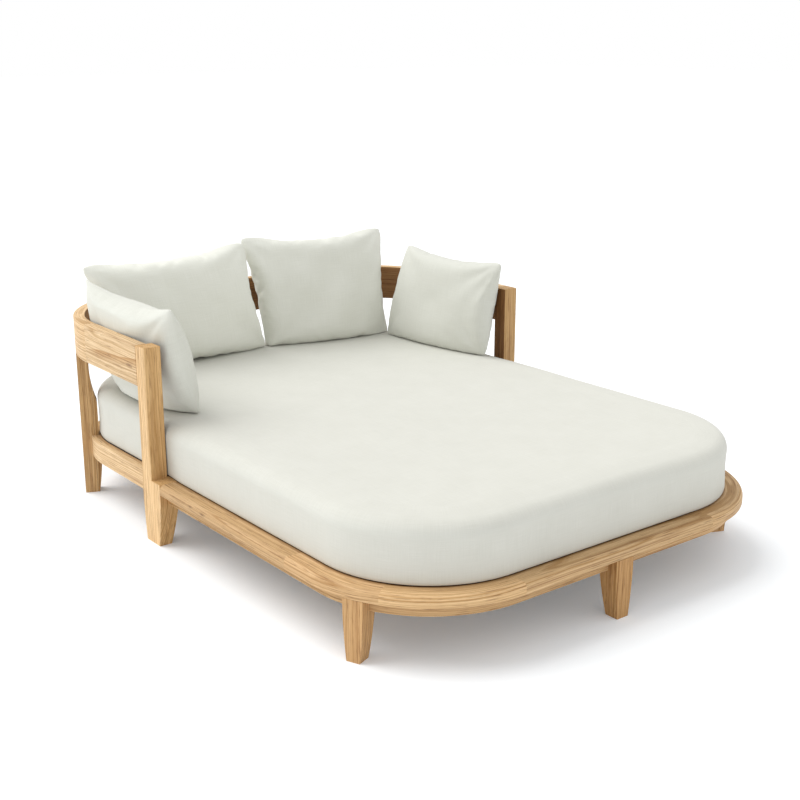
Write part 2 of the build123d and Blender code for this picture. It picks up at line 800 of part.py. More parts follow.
# Platform rail
save_pair("platform_side_rail", pierced(platform_side_rail(), platform_holes[:4] + platform_screw_holes))
save_pair("platform_corner_rail", pierced(platform_corner_rail(), platform_holes[2:6]))
save_pair("platform_bend_rail", pierced(platform_bend_rail(), platform_holes[4:8] + platform_screw_holes))
save("platform_front_rail", pierced(platform_front_rail(),
                                    both_sides(platform_holes[6:8] + platform_screw_holes)))

# Aprons
save_pair("front_side_apron", pierced(front_side_apron(), apron_holes[:8] + platform_screw_holes
                                      + ledger_screw_holes))
save_pair("front_apron", pierced(front_apron(), apron_holes[4:8] + apron_holes[12:16] + mortises()
                                 + platform_screw_holes))
save_pair("rear_side_apron", pierced(rear_side_apron(), apron_holes[:4] + apron_holes[8:12]
                                     + ledger_screw_holes))
save_pair("rear_apron", pierced(rear_apron(), apron_holes[8:12] + apron_holes[16:20] + mortises()))

# Deck
save("centre_bearer", bearer(0))
save_pair("side_bearer", bearer(-bearer_spread))
save_pair("ledger", ledger())
for i, y in enumerate(slat_middles):
    save("slat_%02d" % (i + 1), slat(y))

# Dowels and screws
post_rods = post_dowels(rear_post_point, rear_post_inward, rail_dowel_radius, rail_dowel_length)
save("top_rail_dowels", Compound(both_sides(rail_dowels(rail_dowel_radius, rail_dowel_length) + post_rods)
                                 + post_dowels(centre_post_point, back_inward, rail_dowel_radius,
                                               rail_dowel_length)))
save("platform_dowels", Compound(both_sides(platform_dowels(platform_dowel_radius,
                                                            platform_dowel_length))))
apron_rods = apron_dowels(apron_dowel_radius, apron_dowel_length)
save("apron_dowels", Compound(both_sides(apron_rods[:12]) + apron_rods[12:]))
save("slat_screws", Compound([screw(place, Vector(0, 0, -1), slat_screw_length)
                              for y in slat_middles for place in slat_screw_places(y)]))
save("ledger_screws", Compound(both_sides([screw(place, Vector(-1, 0, 0), ledger_screw_length)
                                           for place in ledger_screw_places()])))
save("platform_screws", Compound(both_sides([screw(place, Vector(0, 0, 1), platform_screw_length)
                                             for place in platform_screw_places()])))

# Soft pieces
save("mattress", mattress())
save("pillow_back_left", pillow("pillow_back_left", back_pillow_thickness))
save("pillow_back_right", pillow("pillow_back_right", back_pillow_thickness))
save("pillow_arm_left", pillow("pillow_arm_left", side_pillow_thickness))
save("pillow_arm_right", pillow("pillow_arm_right", side_pillow_thickness))
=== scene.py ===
import math

import bpy
import numpy as np
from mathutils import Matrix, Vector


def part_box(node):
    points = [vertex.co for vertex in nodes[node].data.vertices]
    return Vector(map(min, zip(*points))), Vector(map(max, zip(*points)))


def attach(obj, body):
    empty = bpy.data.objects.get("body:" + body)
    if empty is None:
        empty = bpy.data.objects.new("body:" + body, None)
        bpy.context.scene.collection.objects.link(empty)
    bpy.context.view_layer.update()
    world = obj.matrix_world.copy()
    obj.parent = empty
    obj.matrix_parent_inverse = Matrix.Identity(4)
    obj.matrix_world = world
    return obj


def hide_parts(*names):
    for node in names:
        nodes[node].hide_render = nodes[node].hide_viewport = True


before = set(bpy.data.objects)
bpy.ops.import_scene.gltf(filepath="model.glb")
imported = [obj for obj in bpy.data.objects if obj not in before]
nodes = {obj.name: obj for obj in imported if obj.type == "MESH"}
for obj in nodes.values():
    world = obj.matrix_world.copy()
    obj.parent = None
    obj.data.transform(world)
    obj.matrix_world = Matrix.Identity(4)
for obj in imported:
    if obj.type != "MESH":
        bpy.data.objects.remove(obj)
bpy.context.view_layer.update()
scene = bpy.context.scene


# The studio: a wide white floor, an even white surround and one large soft lamp high on the left,
# a little behind the bed. The camera looks down from the foot end's left corner.

view_place, view_lens = (-2.3738, -3.0909, 1.5135), 56.78
view_down, view_turned = 16.29, 37.96
surround_light = 0.86
lamp_light, lamp_width, lamp_tilt, lamp_lean = 1.85, 48, -30, -24
floor_reach, floor_swells = 40.0, 0.4
floor_dim, floor_light = (0.93, 0.93, 0.93, 1), (0.95, 0.95, 0.95, 1)
floor_lift, floor_lift_strength = (0.55, 0.79, 1.0, 1), 0.12


def add_node(tree, kind, inputs=None, **settings):
    """A shader node with its settings made and its inputs given a value or joined to a socket."""
    made = tree.nodes.new("ShaderNode" + kind)
    for name, value in settings.items():
        setattr(made, name, value)
    for name, value in (inputs or {}).items():
        if isinstance(value, bpy.types.NodeSocket):
            tree.links.new(value, made.inputs[name])
        else:
            made.inputs[name].default_value = value
    return made


def blend(tree, share, first, second, kind="MIX"):
    """Mixes two colours by a share, or multiplies the first by the second that far."""
    made = add_node(tree, "Mix", data_type="RGBA", blend_type=kind)
    for label, value in (("Factor", share), ("A", first), ("B", second)):
        if isinstance(value, bpy.types.NodeSocket):
            tree.links.new(value, made.inputs[label])
        else:
            made.inputs[label].default_value = value
    return made.outputs["Result"]


def new_material(name, **surface):
    """A material and its surface shader, with the shader's own sockets set."""
    material = bpy.data.materials.new(name)
    material.use_nodes = True
    shader = material.node_tree.nodes["Principled BSDF"]
    for label, value in surface.items():
        shader.inputs[label.replace("_", " ")].default_value = value
    return material, material.node_tree, shader


scene.view_settings.view_transform = "Standard"
view = bpy.data.cameras.new("studio_view")
view.lens = view_lens
view.sensor_width = 36.0
view.clip_end = 200.0
camera = bpy.data.objects.new("studio_view", view)
camera.location = view_place
camera.rotation_euler = (math.radians(90 - view_down), 0, math.radians(-view_turned))
scene.collection.objects.link(camera)
scene.camera = camera

surround = bpy.data.worlds.new("studio_surround")
surround.use_nodes = True
glow = surround.node_tree.nodes["Background"]
glow.inputs["Color"].default_value = (1.0, 1.0, 1.0, 1.0)
seen = add_node(surround.node_tree, "LightPath").outputs["Is Camera Ray"]
strength = add_node(surround.node_tree, "MapRange",
                    {"Value": seen, "To Min": surround_light, "To Max": 1.0})
surround.node_tree.links.new(strength.outputs["Result"], glow.inputs["Strength"])
scene.world = surround

lamp = bpy.data.lights.new("soft_key", "SUN")
lamp.energy = lamp_light
lamp.angle = math.radians(lamp_width)
key = bpy.data.objects.new("soft_key", lamp)
key.rotation_euler = (math.radians(lamp_tilt), math.radians(lamp_lean), 0)
scene.collection.objects.link(key)

floor_corners = floor_reach * np.array([(-1, -1, 0), (1, -1, 0), (1, 1, 0), (-1, 1, 0)])
floor_mesh = bpy.data.meshes.new("studio_floor")
floor_mesh.from_pydata(floor_corners.tolist(), [], [(0, 1, 2, 3)])
floor = bpy.data.objects.new("studio_floor", floor_mesh)
scene.collection.objects.link(floor)
floor_white, tree, shader = new_material(
    "studio_white", Roughness=0.9, Specular_IOR_Level=0.0,
    Emission_Color=floor_lift, Emission_Strength=floor_lift_strength)
place = add_node(tree, "TexCoord").outputs["Object"]
haze = add_node(tree, "TexNoise", {"Vector": place, "Scale": floor_swells, "Detail": 1.0})
tree.links.new(blend(tree, haze.outputs["Fac"], floor_dim, floor_light),
               shader.inputs["Base Color"])
floor.data.materials.append(floor_white)


# The timber: solid teak, oiled pale, planed and sanded. Straight bars are cut along the grain and
# the corner pieces are bent, so their grain follows the curve. Every piece is a board of its own
# with its own tone, which shows the butt joints.

corner_x, corner_y, bend_radius = 0.360, 0.6305, 0.36
platform_top = 0.2025
left, right, head, foot = -1, 1, 1, -1

pale_wood, late_wood = (0.830, 0.615, 0.375, 1), (0.520, 0.330, 0.155, 1)
fibre_brown, streak_brown = (0.380, 0.210, 0.080, 1), (0.255, 0.115, 0.038, 1)
fleck_brown, pore_brown = (0.205, 0.090, 0.030, 1), (0.200, 0.095, 0.038, 1)
knot_brown = (0.170, 0.078, 0.032, 1)
oil_tone = (0.97, 0.945, 0.905)
rings_per_metre, sway_depth, wobble_depth, knot_depth = 210.0, 0.030, 0.0022, 0.012
knot_stretch, knot_core, knot_shade = np.array((1.0, 0.3, 1.4)), 0.2, 0.75
grain_depth = 0.0006


def new_group(name, inputs, outputs):
    """An empty shader group with its named sockets."""
    group = bpy.data.node_groups.new(name, "ShaderNodeTree")
    for label, kind in inputs:
        group.interface.new_socket(label, in_out="INPUT", socket_type="NodeSocket" + kind)
    for label, kind in outputs:
        group.interface.new_socket(label, in_out="OUTPUT", socket_type="NodeSocket" + kind)
    return group, group.nodes.new("NodeGroupInput"), group.nodes.new("NodeGroupOutput")


def join_values(tree, made, values):
    """Gives a node's inputs, in their order, a value or a socket each."""
    for socket, value in zip(made.inputs, values):
        if isinstance(value, bpy.types.NodeSocket):
            tree.links.new(value, socket)
        else:
            socket.default_value = value


def reckon(tree, operation, *values):
    """A Math node on values or sockets; its result socket."""
    made = add_node(tree, "Math", operation=operation)
    join_values(tree, made, values)
    return made.outputs[0]


def steer(tree, operation, *values):
    """A Vector Math node on values or sockets; its result socket."""
    made = add_node(tree, "VectorMath", operation=operation)
    join_values(tree, made, values)
    return made.outputs["Value" if operation in ("LENGTH", "DISTANCE") else "Vector"]


def remap(tree, value, low, high, to_low=0.0, to_high=1.0):
    """Carries a value from one range to another, held at its ends."""
    made = add_node(tree, "MapRange", {"Value": value, "From Min": low, "From Max": high,
                                       "To Min": to_low, "To Max": to_high})
    return made.outputs["Result"]


def cloud(tree, place, stretch, detail=2.0, roughness=0.5):
    """Noise on coordinates stretched by a factor along each axis; its value socket."""
    stretched = steer(tree, "MULTIPLY", place, stretch)
    return add_node(tree, "TexNoise", {"Vector": stretched, "Scale": 1.0, "Detail": detail,
                                       "Roughness": roughness}).outputs["Fac"]


# Turns a place in one quarter of the bed into the length along its curved outline, the reach out
# from the corner's centre, and the height. On the straights the centre moves along with the place.
bent_grain, given, result = new_group("bent_grain", [("Place", "Vector")], [("Grain", "Vector")])
parts = add_node(bent_grain, "SeparateXYZ", {"Vector": given.outputs["Place"]})
core_x = reckon(bent_grain, "MINIMUM", parts.outputs["X"], corner_x)
core_y = reckon(bent_grain, "MINIMUM", parts.outputs["Y"], corner_y)
out_x = reckon(bent_grain, "SUBTRACT", parts.outputs["X"], core_x)
out_y = reckon(bent_grain, "SUBTRACT", parts.outputs["Y"], core_y)
angle = reckon(bent_grain, "ARCTAN2", out_y, out_x)
straight = reckon(bent_grain, "SUBTRACT", core_y, core_x)
length = reckon(bent_grain, "ADD", straight, reckon(bent_grain, "MULTIPLY", angle, bend_radius))
square_x = reckon(bent_grain, "MULTIPLY", out_x, out_x)
square_y = reckon(bent_grain, "MULTIPLY", out_y, out_y)
reach = reckon(bent_grain, "SQRT", reckon(bent_grain, "ADD", square_x, square_y))
joined = add_node(bent_grain, "CombineXYZ", {"X": length, "Y": reach, "Z": parts.outputs["Z"]})
bent_grain.links.new(joined.outputs["Vector"], result.inputs["Grain"])

# Teak figure: growth rings about a heart that lies off the board, fine fibre, brown streaks and
# flecks, open pores and broad clouds of tone, all drawn out along the grain.
teak_figure, given, result = new_group(
    "teak_figure",
    [("Grain", "Vector"), ("Heart", "Vector"), ("Seed", "Vector"), ("Tone", "Color"),
     ("Knots", "Float")],
    [("Color", "Color"), ("Roughness", "Float"), ("Height", "Float")])
moved = steer(teak_figure, "ADD", given.outputs["Grain"], given.outputs["Seed"])


def figure_cloud(along, across, detail=2.0, roughness=0.5):
    """Noise drawn out along the grain, with so many swells a metre along it and across it."""
    return cloud(teak_figure, moved, (along, across, across), detail, roughness)


from_heart = steer(teak_figure, "SUBTRACT", given.outputs["Grain"], given.outputs["Heart"])
ring = steer(teak_figure, "LENGTH", steer(teak_figure, "MULTIPLY", from_heart, (0.0, 1.0, 1.0)))
for bend, depth in ((figure_cloud(1.6, 9.0), sway_depth),
                    (figure_cloud(9.0, 40.0, 3.0), wobble_depth),
                    (given.outputs["Knots"], knot_depth)):
    ring = reckon(teak_figure, "MULTIPLY_ADD", bend, depth, ring)
rings = add_node(teak_figure, "TexNoise",
                 {"W": reckon(teak_figure, "MULTIPLY", ring, rings_per_metre),
                  "Scale": 1.0, "Detail": 3.0, "Roughness": 0.6},
                 noise_dimensions="1D").outputs["Fac"]
late = remap(teak_figure, rings, 0.42, 0.68)
fibre = remap(teak_figure, figure_cloud(5.0, 330.0, 4.0, 0.65), 0.32, 0.68)
streaks = remap(teak_figure, figure_cloud(1.3, 60.0, 3.0, 0.6), 0.55, 0.75)
flecks = remap(teak_figure, figure_cloud(13.0, 300.0, 3.0, 0.6), 0.56, 0.68)
pores = remap(teak_figure, figure_cloud(60.0, 1500.0), 0.60, 0.72)
shade = remap(teak_figure, figure_cloud(1.0, 7.0), 0.3, 0.7, 0.90, 1.10)
color = blend(teak_figure, late, pale_wood, late_wood)
for share, depth, brown in ((fibre, 0.55, fibre_brown), (streaks, 0.65, streak_brown),
                            (flecks, 0.65, fleck_brown), (pores, 0.30, pore_brown)):
    color = blend(teak_figure, reckon(teak_figure, "MULTIPLY", share, depth), color, brown)
color = blend(teak_figure, given.outputs["Knots"], color, knot_brown)
color = steer(teak_figure, "MULTIPLY", color, given.outputs["Tone"])
color = steer(teak_figure, "MULTIPLY", color, shade)
teak_figure.links.new(color, result.inputs["Color"])
gloss = remap(teak_figure, fibre, 0.0, 1.0, 0.50, 0.62)
teak_figure.links.new(gloss, result.inputs["Roughness"])
relief = reckon(teak_figure, "MULTIPLY", late, -0.3)
relief = reckon(teak_figure, "MULTIPLY_ADD", fibre, -0.35, relief)
relief = reckon(teak_figure, "MULTIPLY_ADD", pores, -0.9, relief)
teak_figure.links.new(relief, result.inputs["Height"])

draw = np.random.default_rng(11)


def next_board():
    """Draws where in the log a board is cut: its place there, and how far off the heart lies."""
    return (draw.uniform(-20, 20, 3), draw.uniform(-0.06, 0.06),
            draw.choice([-1, 1]) * draw.uniform(0.05, 0.12))


paired = ["arm_post", "rear_corner_post", "front_corner_leg", "arm_rail", "back_corner_rail",
          "platform_corner_rail", "front_side_apron", "front_apron", "rear_side_apron",
          "rear_apron", "side_bearer", "ledger"]
unpaired = ["platform_bend_rail_left", "platform_bend_rail_right", "rear_centre_post",
            "front_centre_leg", "back_rail", "platform_front_rail", "platform_side_rail_left",
            "platform_side_rail_right", "centre_bearer"]
both_sides = [name + "_" + word for word in ("left", "right") for name in paired]
boards = {name: next_board() for name in both_sides + unpaired}


def coat(node, material):
    """Gives a piece of the frame its one material."""
    nodes[node].data.materials.clear()
    nodes[node].data.materials.append(material)


def teak(node, course, quarter=(right, head), tone=1.0, knots=(), marks=()):
    """Gives a piece its board: the course of its grain, its tone, its knots (a spot and a size
    each) and its marks. A mark is a mask, a colour, and how the colour goes on under the mask."""
    material, tree, shader = new_material("teak_" + node, Specular_IOR_Level=0.25)
    place = add_node(tree, "TexCoord").outputs["Object"]
    cut, aside, below = boards[node]
    if course == "bent" or marks:
        turned = steer(tree, "MULTIPLY", place, (*quarter, 1.0))
        curved = add_node(tree, "Group", {"Place": turned}, node_tree=bent_grain).outputs["Grain"]
    if course == "bent":
        grain, middle = curved, (0.0, bend_radius, 0.2)
    else:
        order = {"along_x": [0, 1, 2], "along_y": [1, 0, 2], "upright": [2, 0, 1]}[course]
        axes = add_node(tree, "SeparateXYZ", {"Vector": place}).outputs
        swapped = {letter: axes[axis] for letter, axis in zip("XYZ", order)}
        grain = add_node(tree, "CombineXYZ", swapped).outputs["Vector"]
        middle = np.mean(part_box(node), axis=0)[order]
    figure = add_node(tree, "Group", node_tree=teak_figure)
    tree.links.new(grain, figure.inputs["Grain"])
    figure.inputs["Heart"].default_value = (0.0, middle[1] + aside, middle[2] + below)
    figure.inputs["Seed"].default_value = tuple(cut)
    figure.inputs["Tone"].default_value = (*np.array(tone) * oil_tone, 1.0)
    spots = 0.0
    for spot, size in knots:
        away = steer(tree, "DISTANCE", steer(tree, "MULTIPLY", place, tuple(knot_stretch)),
                     tuple(knot_stretch * spot))
        dark = remap(tree, away, size * knot_core, size, knot_shade, 0.0)
        spots = reckon(tree, "MAXIMUM", dark, spots)
    if knots:
        tree.links.new(spots, figure.inputs["Knots"])
    color = figure.outputs["Color"]
    if marks:
        reach = add_node(tree, "SeparateXYZ", {"Vector": curved}).outputs["Y"]
    for mask, tint, kind in marks:
        color = blend(tree, mask(tree, place, reach), color, tint, kind)
    tree.links.new(color, shader.inputs["Base Color"])
    tree.links.new(figure.outputs["Roughness"], shader.inputs["Roughness"])
    bump = add_node(tree, "Bump", {"Height": figure.outputs["Height"], "Strength": 0.5,
                                   "Distance": grain_depth})
    tree.links.new(bump.outputs["Normal"], shader.inputs["Normal"])
    coat(node, material)


# The posts and legs: square teak. An arm post is one piece with the leg below it, and a rear corner
# post is turned with the corner and glued up from two staves. The three legs at the foot stand
# under the platform rail.

glue_reach, glue_width = 0.350, 0.0005
post_inner, post_outer = 0.333, 0.3895
# Tints for painted light and shade: the dark one is painted shade on inner faces, the pale one
# painted light on the arm posts' outer faces.
inner_shade_tint, outer_light_tint = (0.36, 0.26, 0.19, 1), (1.30, 1.44, 1.74, 1)
stave_tint, glue_brown = (0.86, 0.84, 0.80, 1), (0.16, 0.075, 0.03, 1)


def painted_inner_shade(face):
    """Painted shade on the inner face of a post or rail that stands above the platform, where the
    pillows keep the light off: dark where the reach is that of the face, gone within 2.5 mm of it."""
    def mask(tree, place, reach):
        near = remap(tree, reach, face + 0.0002, face + 0.0025, 1.0, 0.0)
        height = add_node(tree, "SeparateXYZ", {"Vector": place}).outputs["Z"]
        return reckon(tree, "MULTIPLY", near, reckon(tree, "GREATER_THAN", height, platform_top))
    return mask, inner_shade_tint, "MULTIPLY"


def painted_outer_light(tree, place, reach):
    """Painted light on the post's outer face: where the reach is that of the face, fading in over
    the last 3 mm.
    """
    return remap(tree, reach, post_outer - 0.0030, post_outer)


def inner_stave(tree, place, reach):
    """The stave on the near side of the glued joint."""
    return reckon(tree, "LESS_THAN", reach, glue_reach)


def glue_line(tree, place, reach):
    """Within half a millimetre of the glued joint."""
    off = reckon(tree, "ABSOLUTE", reckon(tree, "SUBTRACT", reach, glue_reach))
    return reckon(tree, "LESS_THAN", off, glue_width)


# Each arm post gets painted light on its outer face and painted shade on its inner face.
for word, side in (("left", left), ("right", right)):
    teak("arm_post_" + word, "upright", (side, head), (0.89, 0.81, 0.65),
         marks=[(painted_outer_light, outer_light_tint, "MULTIPLY"), painted_inner_shade(post_inner)])
    teak("rear_corner_post_" + word, "upright", (side, head), (0.95, 0.88, 0.75),
         marks=[(inner_stave, stave_tint, "MULTIPLY"), (glue_line, glue_brown, "MIX")])
    teak("front_corner_leg_" + word, "upright", tone=(0.91, 0.80, 0.66))
teak("rear_centre_post", "upright", tone=(0.95, 0.91, 0.82))
teak("front_centre_leg", "upright", tone=(0.76, 0.62, 0.44))


# The lower frame: teak aprons set in under the platform rail at the foot, and standing up to seat
# level behind the arm posts. The corner ones are bent, and all are dowelled to the legs.

# Painted shade along the mattress on the rails and aprons beside it.
strip_from, strip_to, strip_depth = 0.3320, 0.3420, 0.75
mattress_shade_tint = (0.56, 0.42, 0.30, 1)


def painted_mattress_shade(tree, place, reach):
    """Painted shade on the strip along the mattress, where the mattress keeps the light off: fading
    from three quarters to nothing over 10 mm.
    """
    return remap(tree, reach, strip_from, strip_to, strip_depth, 0.0)


# The marks of painted shade beside the mattress.
beside = [(painted_mattress_shade, mattress_shade_tint, "MULTIPLY")]
# The rear aprons carry painted shade along the mattress.
for word, side in (("left", left), ("right", right)):
    teak("front_side_apron_" + word, "bent", (side, foot), (0.90, 0.84, 0.72))
    teak("front_apron_" + word, "bent", (side, foot), (0.90, 0.84, 0.74))
    teak("rear_side_apron_" + word, "bent", (side, head), (1.13, 1.17, 1.20), marks=beside)
    teak("rear_apron_" + word, "bent", (side, head), (0.98, 0.95, 0.88), marks=beside)


# The platform rail: a flat teak rail, 63 by 32 mm, round the foot end, screwed on from below
# through the aprons. It is two side rails, a short piece and a bend at each corner, and a front
# rail, butted end to end on dowels.

# Each platform rail carries painted shade along the mattress.
for word, side in (("left", left), ("right", right)):
    teak("platform_corner_rail_" + word, "bent", (side, foot), (0.90, 0.84, 0.76), marks=beside)
teak("platform_bend_rail_left", "bent", (left, foot), (1.04, 1.00, 0.92), marks=beside)
teak("platform_bend_rail_right", "bent", (right, foot), (0.95, 0.92, 0.86), marks=beside)
teak("platform_front_rail", "along_x", (right, foot), (0.94, 0.91, 0.845), marks=beside)
teak("platform_side_rail_left", "along_y", (left, foot), (0.80, 0.76, 0.69), marks=beside,
     knots=[((-0.750, -0.020, 0.192), 0.006), ((-0.750, -0.090, 0.189), 0.007)])
teak("platform_side_rail_right", "along_y", (right, foot), (0.96, 0.93, 0.86), marks=beside)


# The deck: teak bearers and ledgers with fifteen teak slats screwed across them. The mattress
# hides it from above.

for word in ("left", "right"):
    teak("side_bearer_" + word, "along_y", tone=0.93)
    teak("ledger_" + word, "along_y", tone=0.92)
teak("centre_bearer", "along_y", tone=0.93)
slat_tone = np.array((1.0, 0.95, 0.88))
for name in sorted(name for name in nodes if name.startswith("slat_") and name != "slat_screws"):
    lightness = draw.uniform(0.86, 0.98)
    boards[name] = next_board()
    teak(name, "along_x", tone=lightness * slat_tone)


# The top rail: a deep teak board on edge round the arms and the head end. The arm rails and the
# back rail are straight and the corner rails are bent, with dowelled butt joints. A brown band
# runs along each arm rail, and the left one has a knot.

rail_inner = 0.352
band_level, band_fall, band_waver = 0.601, 0.090, 0.014
band_depth, band_edge, band_gone, band_strength = 0.030, 0.001, 0.003, 0.9
band_fades_from, band_fades_to = 0.540, 0.632
band_tint = (0.64, 0.48, 0.29, 1)


def brown_band(tree, place, reach):
    """A band under a wavering line that falls towards the head end. It is strongest at the line,
    gone 30 mm below it, and fades out over the last 90 mm before the corner rail."""
    axes = add_node(tree, "SeparateXYZ", {"Vector": place}).outputs
    line = reckon(tree, "MULTIPLY_ADD", axes["Y"], -band_fall, band_level)
    above = reckon(tree, "MULTIPLY_ADD", cloud(tree, place, (5.0, 5.0, 45.0), 3.0), band_waver,
                   reckon(tree, "SUBTRACT", axes["Z"], line))
    under = remap(tree, above, -band_depth, band_edge, 0.0, band_strength)
    brown = reckon(tree, "MULTIPLY", under, remap(tree, above, band_edge, band_gone, 1.0, 0.0))
    fading = remap(tree, axes["Y"], band_fades_from, band_fades_to, 1.0, 0.0)
    return reckon(tree, "MULTIPLY", brown, fading)


arm_knots = {"left": [((-0.750, 0.322, 0.545), 0.009)], "right": []}
# The arm rails, the corner rails and the back rail carry painted shade on their inner faces.
for word, side in (("left", left), ("right", right)):
    teak("arm_rail_" + word, "along_y", (side, head), (1.15, 1.21, 1.28), arm_knots[word],
         marks=[(brown_band, band_tint, "MULTIPLY"), painted_inner_shade(rail_inner)])
    teak("back_corner_rail_" + word, "bent", (side, head), (1.12, 1.14, 1.14),
         marks=[painted_inner_shade(rail_inner)])
teak("back_rail", "along_x", tone=(1.0, 0.98, 0.94), marks=[painted_inner_shade(rail_inner)])


# Dowels and screws: turned hardwood pins in the joints, and stainless screws in the deck and
# under the platform rail. Their heads are brushed.

def fixing(node, low, high, stretch, roughness, metal):
    """Gives a set of small fixings a finish that varies between two tones."""
    material, tree, shader = new_material(node + "_finish", Metallic=metal)
    place = add_node(tree, "TexCoord").outputs["Object"]
    mottle = cloud(tree, place, stretch, 3.0)
    tree.links.new(blend(tree, mottle, low, high), shader.inputs["Base Color"])
    uneven = remap(tree, mottle, 0.3, 0.7, roughness - 0.08, roughness + 0.08)
    tree.links.new(uneven, shader.inputs["Roughness"])
    bump = add_node(tree, "Bump", {"Height": mottle, "Strength": 0.3, "Distance": 0.0002})
    tree.links.new(bump.outputs["Normal"], shader.inputs["Normal"])
    coat(node, material)


for name in ("top_rail_dowels", "platform_dowels", "apron_dowels"):
    fixing(name, (0.50, 0.30, 0.14, 1), (0.66, 0.44, 0.22, 1), (300.0, 300.0, 300.0), 0.6, 0.0)
for name in ("slat_screws", "ledger_screws", "platform_screws"):
    fixing(name, (0.50, 0.50, 0.49, 1), (0.64, 0.64, 0.63, 1), (900.0, 90.0, 900.0), 0.35, 1.0)


# The mattress: a thick foam block with a plain linen cover, cut to the outline of the frame and
# sunk a little in it. Its edges are rounded, its top is a little crowned, and in front of the arm
# posts it
# spreads out over the rail. From its underside to just above the rail the cover is painted black:
# painted shade for the shadow in the gap between the mattress and the frame.

plan_radius, mattress_inset, deck_level, mattress_height = 0.390, 0.060, 0.1925, 0.185
edge_radius, foot_radius, waist, crown, shoulder = 0.043, 0.006, 0.0015, 0.006, 0.100
tuck, recess, rim_gap, swell_height, foot_lift = 0.0055, 0.010, 0.001, 0.014, 0.0004
edge_sweep = 78
spread, spread_from, spread_over, spread_rise = 0.006, 0.24, 0.12, 0.0025
dent_depth, dent_from, dent_fade = 0.0014, 0.155, 0.03
side_dent_depth, side_from = 0.0012, 0.030
corner_reach = plan_radius - mattress_inset
outline_steps, side_rings = 400, 14
# Painted shade: below this level the mattress cover is painted this black, for the shadow in the
# gap between the mattress and the frame.
foot_shade_level = 0.2062
mattress_light, mattress_dim = (0.672, 0.670, 0.614, 1), (0.588, 0.586, 0.527, 1)
foot_shade_black = (0.028, 0.022, 0.018, 1)
thread_pitch, thread_depth = 0.0011, 0.0003


def outline_run(count):
    """The mattress's outline at even steps round it. Returns the length run, the core rectangle's
    nearest point and the outward direction, so that a place is core + direction x reach."""
    straight_y, straight_x, quarter = 2 * corner_y, 2 * corner_x, corner_reach * np.pi / 2
    lengths = np.array([straight_y, quarter, straight_x, quarter] * 2)
    ends = np.concatenate([[0], np.cumsum(lengths)])
    run = np.linspace(0, ends[-1], count, endpoint=False)
    leg = np.clip(np.searchsorted(ends, run, side="right") - 1, 0, 7)
    share = (run - ends[leg]) / lengths[leg]
    start_angle = np.array([0, 0, 90, 90, 180, 180, 270, 270])[leg]
    turn = np.radians(start_angle + np.where(leg % 2 == 1, share * 90, 0))
    start_x = np.array([1, 1, 1, -1, -1, -1, -1, 1])[leg] * corner_x
    start_y = np.array([-1, 1, 1, 1, 1, -1, -1, -1])[leg] * corner_y
    step_x = np.array([0, 0, -1, 0, 0, 0, 1, 0])[leg] * straight_x * share
    step_y = np.array([1, 0, 0, 0, -1, 0, 0, 0])[leg] * straight_y * share
    core = np.stack([start_x + step_x, start_y + step_y], 1)
    return run, core, np.stack([np.cos(turn), np.sin(turn)], 1)


def mattress_section(rings):
    """Draw-in and height from the foot to the shoulder: a round foot inside the frame, a quarter
    ellipse out over the frame's edge, a side that draws in by a half sine at its waist, a
    quarter-round edge, and a rise to the crown as a quarter sine."""
    turn = np.linspace(0, np.pi / 2, 5)
    foot_bend = np.stack([tuck + foot_radius * (1 - np.sin(turn)),
                          foot_radius * (1 - np.cos(turn))], 1)
    turn = np.linspace(0, np.pi / 2, 7)
    swell = np.stack([tuck * (1 - np.sin(turn)),
                      recess + rim_gap + swell_height * (1 - np.cos(turn))], 1)
    share = np.linspace(0, 1, rings)[1:-1]
    low, top = swell[-1, 1], mattress_height - crown - edge_radius
    side = np.stack([waist * np.sin(np.pi * share), low + (top - low) * share], 1)
    turn = np.radians(np.linspace(0, edge_sweep, 9))
    edge = np.stack([edge_radius * (1 - np.cos(turn)), top + edge_radius * np.sin(turn)], 1)
    share = np.linspace(0, 1, 9)[1:]
    inset, height = edge[-1]
    rise = np.stack([inset + (shoulder - inset) * share,
                     height + (mattress_height - height) * np.sin(share * np.pi / 2)], 1)
    return np.concatenate([foot_bend, swell, side, edge, rise])


def mattress_form(count):
    """The closed cover: the section's rings set in along the outline, the shoulder's ring scaled
    down to a pole in the middle of the top, and the foot's ring to one in the underside. Returns
    the points, the four-sided faces, the three-sided ones at the poles, the length run round the
    outline, the length up the section, and the rings where the side begins and ends."""
    run, core, out = outline_run(count)
    section = mattress_section(side_rings)
    rings = [np.column_stack([core + out * (corner_reach - inset), np.full(count, height)])
             for inset, height in section]
    below = [np.column_stack([rings[0][:, :2] * share, np.zeros(count)])
             for share in np.linspace(0, 1, 8)[1:-1]]
    inner = [np.column_stack([rings[-1][:, :2] * share, np.full(count, mattress_height)])
             for share in np.linspace(1, 0, 24)[1:-1]]
    stack = np.array(below + rings + inner)
    points = np.concatenate([stack.reshape(-1, 3), [[0, 0, 0], [0, 0, mattress_height]]])
    layer, step = np.meshgrid(np.arange(len(stack) - 1), np.arange(count), indexing="ij")
    here = layer * count + step
    there = layer * count + (step + 1) % count
    quads = np.stack([here, there, there + count, here + count], -1).reshape(-1, 4)
    first, last = np.arange(count), (len(stack) - 1) * count + np.arange(count)
    under_cap = np.stack([np.full(count, len(points) - 2), np.roll(first, -1), first], 1)
    upper_cap = np.stack([np.full(count, len(points) - 1), last, np.roll(last, -1)], 1)
    up = np.concatenate([[0], np.cumsum(np.linalg.norm(np.diff(section, axis=0), axis=1))])
    caps = np.concatenate([under_cap, upper_cap])
    return points, quads, caps, run, up, (len(below), len(below) + len(section) - 1)


